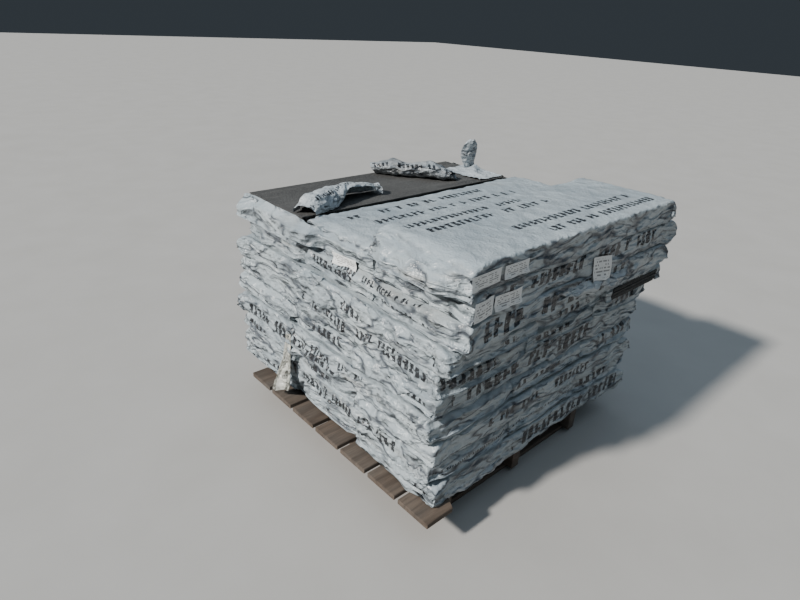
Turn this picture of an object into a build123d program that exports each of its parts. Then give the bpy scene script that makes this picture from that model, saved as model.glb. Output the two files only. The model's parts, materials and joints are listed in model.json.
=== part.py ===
"""Pallet load of asphalt shingle bundles, in millimetres.

Nine layers of three film-wrapped bundles lie on a wooden pallet, with one more
bundle on top at the front. Some layers are crossed, so that they bind each other, and
each one is a little out of line. The last bundle of the ninth layer has been torn open:
its shingles lie bare, with the torn film in crumpled pieces on and beside them.

Frame: +Z is up, the floor is Z = 0, and the origin is under the middle of the deck.
The deck boards run along X, and the stringers run along Y.
"""

import os
from math import tan

from build123d import *

# Pallet
DECK_LENGTH = 1000.0          # deck boards, along X
DECK_WIDTH = 1000.0           # across all deck boards, along Y
DECK_BOARD_COUNT = 7
DECK_BOARD_WIDTH = 129.0
BOARD_THICKNESS = 18.0
STRINGER_COUNT = 3
STRINGER_THICKNESS = 38.0
STRINGER_HEIGHT = 89.0
STRINGER_INSET = 131.0        # from the ends of the deck boards to the outer stringers
FOOT_BOARD_COUNT = 3
FOOT_BOARD_WIDTH = 90.0
FOOT_BOARD_INSET = 30.0       # from the ends of the stringers to the outer foot boards
FRONT_SETBACK = 60.0          # the stringers' front ends stand this far behind the deck's front edge
STUB_LENGTH = 172.0           # the front deck board is broken off: what is left at its left end
STUB_SLANT = 68.0             # its break is this much shorter at the front edge
BOARD_EDGE_WEAR = 2.0         # worn, chamfered board edges

# One shingle, laminated: a full sheet with a toothed half glued on top
SHINGLE_LENGTH = 1000.0
SHINGLE_WIDTH = 336.0
SHEET_THICKNESS = 2.6
TOOTH_LAYER_THICKNESS = 0.95
TOOTH_BAND_WIDTH = 168.0      # the toothed layer, across the shingle
TOOTH_NECK_WIDTH = 40.0       # the part of that layer that the cut-outs leave whole
CUT_OUT_CENTRES = (-372.0, -178.0, 35.0, 214.0, 402.0)
CUT_OUT_WIDTHS = (92.0, 118.0, 76.0, 104.0, 84.0)
CUT_OUT_TAPER = 9.0           # each side of a cut-out leans in by this much
SHINGLE_COUNT = 21
SHINGLE_AIR_GAP = 0.2
SHINGLE_SLIP_ALONG = 4.0      # bare shingles lie out of line by up to two of these steps
SHINGLE_SLIP_ACROSS = 1.2

# One wrapped bundle
WRAP_SIDE_SLACK = 4.5         # film and air past each long edge of the shingles
WRAP_TOP_SLACK = 1.25         # film and air over and under the shingles, together
WRAP_END_LENGTH = 45.0        # gathered film past each end of the shingles
WRAP_END_HEIGHT = 44.0        # the blunt end that the gathered film closes to
WRAP_EDGE_SLOPE = 12.0        # the film slants over the long edges by this much
WRAP_CORNER_CUT = 20.0        # the film cuts the four corners, seen from above
WRAP_SIDE_FOLDS = 8           # loose folds of the film along each long side
WRAP_SIDE_FOLD_DEPTH = 4.0
WRAP_END_FOLDS = 3            # and across each end
WRAP_END_FOLD_DEPTH = 13.0

# The stack: for each layer the way its bundles run, the place of its middle in X and Y,
# and the gap between neighbouring bundles
LAYERS = (
    ("X", 101.0, 86.0, 26.0),
    ("Y", 89.0, 85.0, 21.0),
    ("X", 75.0, 60.0, 4.0),
    ("Y", 73.0, 80.0, 24.0),
    ("X", 75.0, 77.0, 10.0),
    ("Y", 80.0, 65.0, 20.0),
    ("Y", 77.0, 40.0, 31.0),
    ("X", 85.0, 5.0, 4.0),
    ("X", 106.0, 8.0, 4.0),
)
BUNDLES_PER_LAYER = 3
SLIP_STEP = 3.0               # bundles lie out of line along their length by up to two steps
OPEN_BUNDLE_SHIFT = (-44.0, 10.0)
TOP_BUNDLE_SHIFT = (-53.0, -6.0)    # from the front bundle of the ninth layer

# Torn film on the open bundle
UNDER_FILM_THICKNESS = 1.2
SOFT_CLEARANCE = 0.3
ARCH_LENGTH = 380.0           # along its bent middle line
ARCH_BEND_RADIUS = 600.0
ARCH_WIDTH = 90.0
ARCH_HEIGHT = 50.0
ARCH_EDGE_SLOPE = 16.0
ARCH_END_INSET = 188.0        # from the left end of the shingles to its middle
ARCH_FRONT_INSET = 76.0       # from the front edge of the shingles to its middle
ARCH_TURN = 11.0
ROLL_LENGTH = 340.0
ROLL_WIDTH = 100.0
ROLL_HEIGHT = 65.0
ROLL_FRONT_INSET = 54.0       # from the front edge of the shingles to its right end
ROLL_TURN = -51.0
SPREAD_LENGTH = 244.0         # film that lies over the right end of the shingles
SPREAD_WIDTH = 220.0
SPREAD_THICKNESS = 4.0
SPREAD_OVERHANG = 83.0        # past the shingles, where it slants down
SPREAD_DROP = 45.0
SPREAD_FRONT_INSET = 6.0
FILM_GAP = 10.0               # between the roll and the spread film
FLAP_BASE_WIDTH = 70.0        # a tongue of film that stands up on the spread film
FLAP_WIDTH = 115.0
FLAP_HEIGHT = 125.0
FLAP_THICKNESS = 3.0
FLAP_END_INSET = 22.0         # from the right end of the shingles to its middle
FLAP_FRONT_INSET = 176.0      # from the front edge of the shingles to its middle

# Loose film that hangs from the wraps on the left face
STRIP_TOP = 400.0             # above the floor
STRIP_BOTTOM = 155.0
STRIP_TOP_WIDTH = 36.0
STRIP_BOTTOM_WIDTH = 92.0
STRIP_THICKNESS = 3.0
STRIP_PLACE_Y = 280.0

DECK_TOP = 2 * BOARD_THICKNESS + STRINGER_HEIGHT
SHINGLE_PITCH = SHEET_THICKNESS + TOOTH_LAYER_THICKNESS + SHINGLE_AIR_GAP
BUNDLE_LENGTH = SHINGLE_LENGTH + 2 * WRAP_END_LENGTH
BUNDLE_WIDTH = SHINGLE_WIDTH + 2 * WRAP_SIDE_SLACK
BUNDLE_THICKNESS = SHINGLE_COUNT * SHINGLE_PITCH + WRAP_TOP_SLACK


def worn_board(length, width, height):
    """A sawn board along X with its long edges worn down, standing on Z = 0."""
    section = chamfer(Rectangle(width, height).vertices(), BOARD_EDGE_WEAR)
    return Pos(0, 0, height / 2) * extrude(Plane.YZ * section, length / 2, both=True)


def spaced(count, first, last):
    """Places of a row of equal pieces from the first to the last."""
    return [first + (last - first) * i / (count - 1) for i in range(count)]


def broken_board():
    """The front deck board, broken off slantwise a little way past the first stringer."""
    left, front = -DECK_LENGTH / 2, -DECK_BOARD_WIDTH / 2
    kept = make_face(Polyline(
        (left, front),
        (left + STUB_LENGTH - STUB_SLANT, front),
        (left + STUB_LENGTH, -front),
        (left, -front),
        close=True,
    ))
    return worn_board(DECK_LENGTH, DECK_BOARD_WIDTH, BOARD_THICKNESS) & extrude(kept, BOARD_THICKNESS)


def pallet_pieces():
    """Every board of the pallet, by node name."""
    pieces = {}
    stringer_front = FRONT_SETBACK - DECK_WIDTH / 2
    stringer_length = DECK_WIDTH - FRONT_SETBACK
    stringer_edge = DECK_LENGTH / 2 - STRINGER_INSET - STRINGER_THICKNESS / 2
    foot_length = 2 * stringer_edge + STRINGER_THICKNESS
    foot_reach = FOOT_BOARD_INSET + FOOT_BOARD_WIDTH / 2
    foot_places = spaced(FOOT_BOARD_COUNT, stringer_front + foot_reach, DECK_WIDTH / 2 - foot_reach)
    for i, y in enumerate(foot_places, 1):
        board = worn_board(foot_length, FOOT_BOARD_WIDTH, BOARD_THICKNESS)
        pieces[f"foot_board_{i}"] = Pos(0, y, 0) * board
    for i, x in enumerate(spaced(STRINGER_COUNT, -stringer_edge, stringer_edge), 1):
        stringer = Rot(0, 0, 90) * worn_board(stringer_length, STRINGER_THICKNESS, STRINGER_HEIGHT)
        pieces[f"stringer_{i}"] = Pos(x, FRONT_SETBACK / 2, BOARD_THICKNESS) * stringer
    deck_edge = (DECK_WIDTH - DECK_BOARD_WIDTH) / 2
    for i, y in enumerate(spaced(DECK_BOARD_COUNT, -deck_edge, deck_edge), 1):
        board = worn_board(DECK_LENGTH, DECK_BOARD_WIDTH, BOARD_THICKNESS) if i > 1 else broken_board()
        pieces[f"deck_board_{i}"] = Pos(0, y, DECK_TOP - BOARD_THICKNESS) * board
    return pieces


def folded_edge(length, folds, depth, lead):
    """A folded edge along X: ridges on Y = 0 with furrows behind them. Lead 1 starts in a furrow."""
    step = length / (2 * folds)
    return [(i * step - length / 2, depth * ((i + lead) % 2)) for i in range(2 * folds + 1)]


def wrapped_bundle(lead):
    """A film-wrapped bundle along X: flat over the shingles, folded round them, blunt at its ends."""
    half_length, half_width = BUNDLE_LENGTH / 2, BUNDLE_WIDTH / 2
    side_run = BUNDLE_LENGTH - 2 * WRAP_CORNER_CUT
    end_run = BUNDLE_WIDTH - 2 * WRAP_CORNER_CUT
    side = folded_edge(side_run, WRAP_SIDE_FOLDS, WRAP_SIDE_FOLD_DEPTH, lead)
    end = folded_edge(end_run, WRAP_END_FOLDS, WRAP_END_FOLD_DEPTH, lead)
    outline = [(x, depth - half_width) for x, depth in side]
    outline += [(half_length - depth, y) for y, depth in end]
    outline += [(-x, half_width - depth) for x, depth in side]
    outline += [(depth - half_length, -y) for y, depth in end]
    plan_view = extrude(make_face(Polyline(*outline, close=True)), BUNDLE_THICKNESS)
    shoulder = SHINGLE_LENGTH / 2
    low = (BUNDLE_THICKNESS - WRAP_END_HEIGHT) / 2
    high = low + WRAP_END_HEIGHT
    side_face = Plane.XZ * make_face(Polyline(
        (-shoulder, 0),
        (shoulder, 0),
        (half_length, low),
        (half_length, high),
        (shoulder, BUNDLE_THICKNESS),
        (-shoulder, BUNDLE_THICKNESS),
        (-half_length, high),
        (-half_length, low),
        close=True,
    ))
    side_view = extrude(side_face, half_width, both=True)
    end_outline = chamfer(Rectangle(BUNDLE_WIDTH, BUNDLE_THICKNESS).vertices(), WRAP_EDGE_SLOPE)
    end_view = Pos(0, 0, BUNDLE_THICKNESS / 2) * extrude(Plane.YZ * end_outline, half_length, both=True)
    return (plan_view & side_view & end_view).solid()


def layer_places(index):
    """Where the middles of a layer's bundles are: X, Y, turn about Z."""
    direction, middle_x, middle_y, gap = LAYERS[index]
    pitch = BUNDLE_WIDTH + gap
    places = []
    for i in range(BUNDLES_PER_LAYER):
        across = (i - (BUNDLES_PER_LAYER - 1) / 2) * pitch
        slip = SLIP_STEP * ((5 * index + 3 * i) % 5 - 2)
        if direction == "X":
            places.append((middle_x + slip, middle_y + across, 0))
        else:
            places.append((middle_x + across, middle_y + slip, 90))
    return places


def left_face(places, low_y, high_y):
    """The lowest X that the bundles at these places reach between two values of Y."""
    ends = []
    for x, y, turn in places:
        half_x, half_y = BUNDLE_LENGTH / 2, BUNDLE_WIDTH / 2
        if turn:
            half_x, half_y = half_y, half_x
        if y - half_y < high_y and y + half_y > low_y:
            ends.append(x - half_x)
    return min(ends)


def shingle():
    """One laminated shingle, lying face down on Z = 0 with its toothed half towards -Y."""
    sheet = Box(SHINGLE_LENGTH, SHINGLE_WIDTH, SHEET_THICKNESS)
    sheet = Pos(0, 0, TOOTH_LAYER_THICKNESS + SHEET_THICKNESS / 2) * sheet
    band_low = -SHINGLE_WIDTH / 2
    band = Rectangle(SHINGLE_LENGTH, TOOTH_BAND_WIDTH, align=(Align.CENTER, Align.MIN))
    band = Pos(0, band_low) * band
    for centre, width in zip(CUT_OUT_CENTRES, CUT_OUT_WIDTHS):
        half_mouth = width / 2
        half_top = half_mouth - CUT_OUT_TAPER
        depth = TOOTH_BAND_WIDTH - TOOTH_NECK_WIDTH
        band -= make_face(Polyline(
            (centre - half_mouth, band_low),
            (centre + half_mouth, band_low),
            (centre + half_top, band_low + depth),
            (centre - half_top, band_low + depth),
            close=True,
        ))
    teeth = extrude(band, TOOTH_LAYER_THICKNESS)
    return (sheet + teeth).solid()


def bare_shingles(x, y, base):
    """The open bundle's shingles, every second one turned about, with a hand's unevenness."""
    one = shingle()
    pieces = []
    for i in range(SHINGLE_COUNT):
        turn = 180 * (i % 2)
        slip_x = SHINGLE_SLIP_ALONG * ((i * 7) % 5 - 2)
        slip_y = SHINGLE_SLIP_ACROSS * ((i * 3) % 5 - 2)
        pieces.append(Pos(x + slip_x, y + slip_y, base + i * SHINGLE_PITCH) * Rot(0, 0, turn) * one)
    return pieces


def film_arch(left, front, base):
    """Crumpled film that lies in a low bent ridge on the bare shingles."""
    outer = ARCH_BEND_RADIUS + ARCH_WIDTH / 2
    ring = Circle(outer) - Circle(ARCH_BEND_RADIUS - ARCH_WIDTH / 2)
    half_spread = outer * tan(ARCH_LENGTH / 2 / ARCH_BEND_RADIUS)
    wedge = make_face(Polyline((0, 0), (half_spread, outer), (-half_spread, outer), close=True))
    body = extrude(Pos(0, -ARCH_BEND_RADIUS) * (ring & wedge), ARCH_HEIGHT)
    body = chamfer(body.faces().sort_by(Axis.Z)[-1].edges(), ARCH_EDGE_SLOPE)
    place = Pos(left + ARCH_END_INSET, front + ARCH_FRONT_INSET, base + SOFT_CLEARANCE)
    return place * Rot(0, 0, ARCH_TURN) * body


def film_roll(end_x, front, base):
    """Crumpled roll of torn film: a low half-round bar that ends at end_x."""
    chord = ROLL_WIDTH / 2
    section = make_face(Curve() + [
        Line((-chord, 0), (chord, 0)),
        ThreePointArc((chord, 0), (0, ROLL_HEIGHT), (-chord, 0)),
    ])
    bar = extrude(Plane.YZ * section, -ROLL_LENGTH)
    return Pos(end_x, front + ROLL_FRONT_INSET, base + SOFT_CLEARANCE) * Rot(0, 0, ROLL_TURN) * bar


def film_spread(left, front, base):
    """Film that lies flat on the shingles and slants down past their end."""
    flat = SPREAD_LENGTH - SPREAD_OVERHANG
    profile = make_face(Polyline(
        (0, 0),
        (flat, 0),
        (SPREAD_LENGTH, -SPREAD_DROP),
        (SPREAD_LENGTH, SPREAD_THICKNESS - SPREAD_DROP),
        (flat, SPREAD_THICKNESS),
        (0, SPREAD_THICKNESS),
        close=True,
    ))
    sheet = extrude(Plane.XZ * profile, -SPREAD_WIDTH)
    return Pos(left, front + SPREAD_FRONT_INSET, base + SOFT_CLEARANCE) * sheet


def film_flap(x, y, base):
    """Tongue of stiff film that stands up on its narrow end."""
    shoulder = FLAP_HEIGHT - FLAP_WIDTH / 2
    outline = make_face(Curve() + [
        Line((-FLAP_BASE_WIDTH / 2, 0), (FLAP_BASE_WIDTH / 2, 0)),
        Line((FLAP_BASE_WIDTH / 2, 0), (FLAP_WIDTH / 2, shoulder)),
        ThreePointArc((FLAP_WIDTH / 2, shoulder), (0, FLAP_HEIGHT), (-FLAP_WIDTH / 2, shoulder)),
        Line((-FLAP_WIDTH / 2, shoulder), (-FLAP_BASE_WIDTH / 2, 0)),
    ])
    plate = extrude(Plane.XZ * outline, FLAP_THICKNESS / 2, both=True)
    return Pos(x, y, base + SOFT_CLEARANCE) * plate


def hanging_strip(face_x):
    """Pleated tail of film that hangs down the left face and widens towards its end."""
    half_top = STRIP_TOP_WIDTH / 2
    half_bottom = STRIP_BOTTOM_WIDTH / 2
    outline = make_face(Polyline(
        (-half_bottom, STRIP_BOTTOM),
        (half_bottom, STRIP_BOTTOM),
        (half_top, STRIP_TOP),
        (-half_top, STRIP_TOP),
        close=True,
    ))
    plate = extrude(Plane.YZ * outline, -STRIP_THICKNESS)
    return Pos(face_x - SOFT_CLEARANCE, STRIP_PLACE_Y, 0) * plate


def torn_film(x, y, top):
    """The torn film on the open bundle, whose shingles have their middle at X, Y."""
    left = x - SHINGLE_LENGTH / 2
    right = x + SHINGLE_LENGTH / 2
    front = y - SHINGLE_WIDTH / 2
    spread_left = right + SPREAD_OVERHANG - SPREAD_LENGTH
    roll_end = spread_left - FILM_GAP - ROLL_WIDTH / 2
    spread_top = top + SOFT_CLEARANCE + SPREAD_THICKNESS
    flap_x = right - FLAP_END_INSET
    return {
        "torn_film_arch": [film_arch(left, front, top)],
        "torn_film_roll": [film_roll(roll_end, front, top)],
        "torn_film_spread": [film_spread(spread_left, front, top)],
        "torn_film_flap": [film_flap(flap_x, front + FLAP_FRONT_INSET, spread_top)],
    }


def stack_pieces():
    """Every node of the stack, by name, as a list of its solids."""
    wrapped = [wrapped_bundle(lead) for lead in (0, 1)]
    layers = [layer_places(index) for index in range(len(LAYERS))]
    open_x, open_y, _ = layers[-1].pop()
    open_x += OPEN_BUNDLE_SHIFT[0]
    open_y += OPEN_BUNDLE_SHIFT[1]
    front_x, front_y, front_turn = layers[-1][0]
    layers.append([(front_x + TOP_BUNDLE_SHIFT[0], front_y + TOP_BUNDLE_SHIFT[1], front_turn)])
    pieces = {}
    for index, places in enumerate(layers):
        base = DECK_TOP + index * BUNDLE_THICKNESS
        pieces[f"bundle_layer_{index + 1:02d}"] = [
            Pos(x, y, base) * Rot(0, 0, turn) * wrapped[(index + i) % 2]
            for i, (x, y, turn) in enumerate(places)
        ]
    open_base = DECK_TOP + (len(LAYERS) - 1) * BUNDLE_THICKNESS
    sheet = Box(BUNDLE_LENGTH, SHINGLE_WIDTH, UNDER_FILM_THICKNESS)
    place = Pos(open_x, open_y, open_base + UNDER_FILM_THICKNESS / 2)
    pieces["film_under_shingles"] = [place * sheet]
    shingle_base = open_base + UNDER_FILM_THICKNESS
    pieces["bare_shingles"] = bare_shingles(open_x, open_y, shingle_base)
    pieces |= torn_film(open_x, open_y, shingle_base + SHINGLE_COUNT * SHINGLE_PITCH - SHINGLE_AIR_GAP)
    low_y = STRIP_PLACE_Y - STRIP_BOTTOM_WIDTH / 2
    high_y = STRIP_PLACE_Y + STRIP_BOTTOM_WIDTH / 2
    face_x = min(
        left_face(places, low_y, high_y) for index, places in enumerate(layers)
        if DECK_TOP + index * BUNDLE_THICKNESS < STRIP_TOP
    )
    pieces["hanging_film_strip"] = [hanging_strip(face_x)]
    return pieces


def main():
    os.makedirs("parts", exist_ok=True)
    for name, piece in pallet_pieces().items():
        export_step(piece, f"parts/{name}.step")
    for name, solids in stack_pieces().items():
        shape = solids[0] if len(solids) == 1 else Compound(children=list(solids))
        export_step(shape, f"parts/{name}.step")


main()
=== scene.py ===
"""Looks of the pallet load: wrinkled film wraps, torn film, bare shingles and worn wood.

Every length is in metres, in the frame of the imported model.
"""

import json
import math

import bmesh
import bpy
import numpy as np
from mathutils import Matrix, Vector
from mathutils.bvhtree import BVHTree

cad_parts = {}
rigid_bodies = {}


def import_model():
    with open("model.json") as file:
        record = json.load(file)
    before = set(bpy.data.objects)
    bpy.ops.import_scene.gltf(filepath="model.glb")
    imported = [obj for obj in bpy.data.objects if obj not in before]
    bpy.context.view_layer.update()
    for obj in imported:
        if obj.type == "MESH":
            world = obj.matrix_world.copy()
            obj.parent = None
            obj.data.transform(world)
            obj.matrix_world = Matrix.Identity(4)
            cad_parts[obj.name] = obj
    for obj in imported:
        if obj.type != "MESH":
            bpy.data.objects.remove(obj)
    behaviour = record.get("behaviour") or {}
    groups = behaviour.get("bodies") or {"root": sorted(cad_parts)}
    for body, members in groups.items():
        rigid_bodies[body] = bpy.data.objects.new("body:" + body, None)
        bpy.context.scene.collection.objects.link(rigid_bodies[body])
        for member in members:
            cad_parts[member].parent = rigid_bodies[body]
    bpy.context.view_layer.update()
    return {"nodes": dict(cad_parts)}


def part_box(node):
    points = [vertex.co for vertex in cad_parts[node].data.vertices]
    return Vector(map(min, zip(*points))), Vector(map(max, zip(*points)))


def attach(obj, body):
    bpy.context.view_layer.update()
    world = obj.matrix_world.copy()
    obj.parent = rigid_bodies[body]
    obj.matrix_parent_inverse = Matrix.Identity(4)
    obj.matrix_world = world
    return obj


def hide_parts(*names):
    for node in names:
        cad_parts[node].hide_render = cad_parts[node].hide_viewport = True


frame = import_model()

# Camera, fitted to the photograph's horizon and corners
CAMERA_PLACE = (-1.4183, -1.3056, 1.4278)
CAMERA_PITCH = math.radians(25.914)
CAMERA_ROLL = math.radians(3.277)
CAMERA_YAW = math.radians(43.287)
CAMERA_LENS_MM = 26.10

# Light: a key from the left, as high as the shadow in the photograph says, and a pale sky that
# is dark near the horizon
KEY_DIRECTION = (-1.30, 0.17, 0.925)
KEY_POWER, KEY_ANGLE, KEY_COLOUR = 6.4, math.radians(4), (1.0, 0.965, 0.91)
SKY_COLOUR = (0.68, 0.84, 1.0, 1)
SKY_RANGE = {"From Min": 0.5, "From Max": 1.0, "To Min": 0.05, "To Max": 1.10}
FLOOR_REACH = 30.0

# The wraps
SIDE_STEP = 0.0062           # between points along a face that shows
HIDDEN_STEP = 0.030          # and along one that doesn't
MARGIN = 0.034               # the fine part of a hidden face, beside its edges
RISE_POINTS, HIDDEN_RISE_POINTS = 13, 5
EDGE_RADIUS = 0.012
EDGE_POINTS = 5
CLOSING_POINTS = 8
SHOULDER = 0.500             # half a shingle: the film starts to close here
SEAM_FIN = 0.009             # how far the welded seam stands out from an end
CORNER_CUT = 0.020
SIDE_FOLDS, SIDE_FOLD_DEPTH = 8, 0.004
END_FOLDS, END_FOLD_DEPTH = 3, 0.013
FACET_ROUNDNESS, FACET_TILT = 1.1, 0.9
MIDDLING = 0.45              # about the mean of crumple()
OUTER_GAP = 0.016            # room beside the outermost bundles
MOST_FLARE = 0.012           # how far an end may spread sideways
CALM_TOP, CALM = 0.4, 0.62   # share of the wrinkles on the photograph's right face
LIVELY_SIDE, LIVELY_END = 1.45, 1.35         # and on its left face
BAR_SPACING = 0.72           # of the row's height
NO_PRINT = 1.0               # the reach of a point that is in no printed row

# The open bundle: the cut-outs of its shingles' toothed layer, as in the solids
CUT_OUTS = ((-0.372, 0.092), (-0.178, 0.118), (0.035, 0.076), (0.214, 0.104), (0.402, 0.084))
TOOTH_LAYER = 0.00095
SHEET_PITCH = 0.00375
TOOTH_BAND = 0.168
CUT_OUT_DEPTH = 0.128
OPEN_HEIGHT = 0.080
LEAST_LIFT = 0.0008          # of loose film over the top shingle

# The torn end in the seventh layer
SLOT_LEVELS = (0.610, 0.652)
SLOT_POINTS = 40
SLOT_SHEET = 0.0031

# Where the photograph's right face lies along Y and its left face along X, about, and how far
# before a place the search for a surface starts
RIGHT_FACE, LEFT_FACE = -0.52, -0.50
SEARCH_START = 0.15

# The numbers of points along and across what is laid over the faces
FOLD_GRID, LABEL_GRID, BAND_GRID = (100, 24), (30, 14), (120, 18)
SHINGLE_GRID = (96, 33)

# Colours of the film, apart from its own: print, dust, stains, and the painted shade of its creases
# and hollows
INK = (0.016, 0.018, 0.022, 1)
DUST = (0.36, 0.35, 0.325, 1)
STAIN = (0.215, 0.178, 0.135, 1)
CREASE_SHADE = (0.07, 0.082, 0.098, 1)
HOLLOW_SHADE = (0.060, 0.072, 0.086, 1)

# Lines of bars on a label, and bars to a line
LABEL_LINES, LABEL_WORDS = 7.0, 17.0

# Steps to a point of a grid and to its neighbours
NEAR = [(x, y) for x in (-1, 0, 1) for y in (-1, 0, 1)]

BODY = "root"


def hashed(ix, iy, seed):
    """A number from 0 to 1 for each lattice point."""
    n = (ix * 374761393 + iy * 668265263 + seed * 982451653) & 0xFFFFFFFF
    n = ((n ^ (n >> 13)) * 1274126177) & 0xFFFFFFFF
    return ((n ^ (n >> 16)) & 0xFFFFFF) / float(0x1000000)


def lattice(x, y):
    """Places, and the lattice points below them."""
    x, y = np.broadcast_arrays(np.asarray(x, float), np.asarray(y, float))
    return x, y, np.floor(x).astype(np.int64), np.floor(y).astype(np.int64)


def noise(x, y, seed):
    """Smooth gradient noise, from about -0.7 to 0.7."""
    x, y, ix, iy = lattice(x, y)
    fx, fy = x - ix, y - iy
    wx, wy = fx**3 * (fx * (fx * 6 - 15) + 10), fy**3 * (fy * (fy * 6 - 15) + 10)
    total = np.zeros_like(fx)
    for dx, dy in np.ndindex(2, 2):
        angle = 2 * math.pi * hashed(ix + dx, iy + dy, seed)
        slope = np.cos(angle) * (fx - dx) + np.sin(angle) * (fy - dy)
        total += slope * (wx if dx else 1 - wx) * (wy if dy else 1 - wy)
    return total


def layered(x, y, seed, octaves=3):
    """Noise with finer and weaker noise added to it."""
    return sum(noise(x * 2**k, y * 2**k, seed + 31 * k) / 2**k for k in range(octaves))


def crumple(x, y, seed):
    """Tilted facets that meet in sharp ridges, like creased film. From about 0 to 1."""
    x, y, ix, iy = lattice(x, y)
    best = np.full(x.shape, 9.0)
    for dx, dy in NEAR:
        cx, cy = ix + dx, iy + dy
        ox = x - cx - 0.15 - 0.7 * hashed(cx, cy, seed)
        oy = y - cy - 0.15 - 0.7 * hashed(cx, cy, seed + 1)
        lift = 0.5 * hashed(cx, cy, seed + 2)
        lean_x = FACET_TILT * (hashed(cx, cy, seed + 3) - 0.5)
        lean_y = FACET_TILT * (hashed(cx, cy, seed + 4) - 0.5)
        bowl = FACET_ROUNDNESS * (ox * ox + oy * oy)
        best = np.minimum(best, lift + lean_x * ox + lean_y * oy + bowl)
    return best


def ridged(x, y, seed):
    """Long sharp crests with soft hollows between them, from about -1 to 1."""
    return 1 - 2.6 * np.abs(noise(x, y, seed))


def ramp(value, low, high):
    """Smooth step from 0 at low to 1 at high."""
    t = np.clip((value - low) / (high - low), 0, 1)
    return t * t * (3 - 2 * t)


def stacked(*parts):
    """Arrays that fit together, as one array with their values side by side."""
    return np.stack(np.broadcast_arrays(*parts), -1)


def patch(size, first=0):
    """Even places down a grid of that size, from 0 to 1, and across it, from first to 1."""
    return np.linspace(0, 1, size[0])[:, None], np.linspace(first, 1, size[1])[None]


def by_sign(place, pair):
    """The second of a pair where the place is above 0, and the first elsewhere."""
    return np.where(place > 0, pair[1], pair[0])


def near_end(place, half, start, stop=0):
    """0 up to start before the ends of a run from -half to half, and 1 from stop before them."""
    return ramp(np.abs(place), half - start, half - stop)


def run_length(steps):
    """How far along each point lies, from the lengths of the steps between the points."""
    return np.concatenate([[0], np.cumsum(steps)])


def solid_boxes(node):
    """The box of each separate solid of a CAD node: lowest and highest corner."""
    bm = bmesh.new()
    bm.from_mesh(frame["nodes"][node].data)
    bmesh.ops.remove_doubles(bm, verts=bm.verts, dist=1e-5)
    left, boxes = set(bm.verts), []
    while left:
        found, queue = set(), [left.pop()]
        while queue:
            vert = queue.pop()
            found.add(vert)
            for edge in vert.link_edges:
                other = edge.other_vert(vert)
                if other in left:
                    left.discard(other)
                    queue.append(other)
        points = np.array([v.co for v in found])
        boxes.append((points.min(0), points.max(0)))
    bm.free()
    return boxes


def placed(name, data):
    """A new object in the scene."""
    made = bpy.data.objects.new(name, data)
    bpy.context.scene.collection.objects.link(made)
    return made


def new_piece(name, points, faces, material, smooth=True):
    """A mesh object from points and faces, riding on the load."""
    mesh = bpy.data.meshes.new(name)
    mesh.from_pydata(points.reshape(-1, 3).tolist(), [], faces)
    mesh.materials.append(material)
    if smooth:
        mesh.polygons.foreach_set("use_smooth", [True] * len(mesh.polygons))
    mesh.update()
    piece = placed(name, mesh)
    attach(piece, BODY)
    return piece


def grid_faces(rows, columns, closed=False):
    """Quads between neighbouring points of a grid; closed joins its last column to its first."""
    r = np.arange(rows - 1)[:, None]
    c = np.arange(columns if closed else columns - 1)[None, :]
    after = (c + 1) % columns
    quads = [r * columns + c, (r + 1) * columns + c, (r + 1) * columns + after, r * columns + after]
    return stacked(*quads).reshape(-1, 4).tolist()


def set_uv(mesh, name, values):
    """A UV map from one pair of values for each point."""
    layer = mesh.uv_layers.new(name=name)
    corner = np.zeros(len(mesh.loops), np.int32)
    mesh.loops.foreach_get("vertex_index", corner)
    layer.data.foreach_set("uv", values.reshape(-1, 2)[corner].astype(np.float32).ravel())


def set_value(mesh, name, values):
    """A named number for each point."""
    attribute = mesh.attributes.new(name, "FLOAT", "POINT")
    attribute.data.foreach_set("value", values.astype(np.float32).ravel())


def set_film(piece, marks, reach, hollow_shade):
    """What the film's material reads: the print map, its reach, and the painted shade of the
    hollows.
    """
    set_uv(piece.data, "print", marks)
    set_value(piece.data, "print_reach", reach)
    set_value(piece.data, "hollow_shade", hollow_shade)


class Nodes:
    """Short calls for the nodes of a material or a world."""

    def __init__(self, owner):
        owner.use_nodes = True
        self.tree = owner.node_tree

    def put(self, socket, value):
        """Links a socket to an output, or sets its constant. None leaves it as it is."""
        if isinstance(value, bpy.types.NodeSocket):
            self.tree.links.new(value, socket)
        elif value is not None:
            socket.default_value = value

    def node(self, kind, inputs=(), **settings):
        """The outputs of a new node of a kind, such as Math."""
        made = self.tree.nodes.new("ShaderNode" + kind)
        for key, value in settings.items():
            setattr(made, key, value)
        for key, value in dict(inputs).items():
            self.put(made.inputs[key], value)
        return made.outputs

    def split(self, vector):
        """The three numbers of a vector."""
        return self.node("SeparateXYZ", {"Vector": vector})[:]


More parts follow.
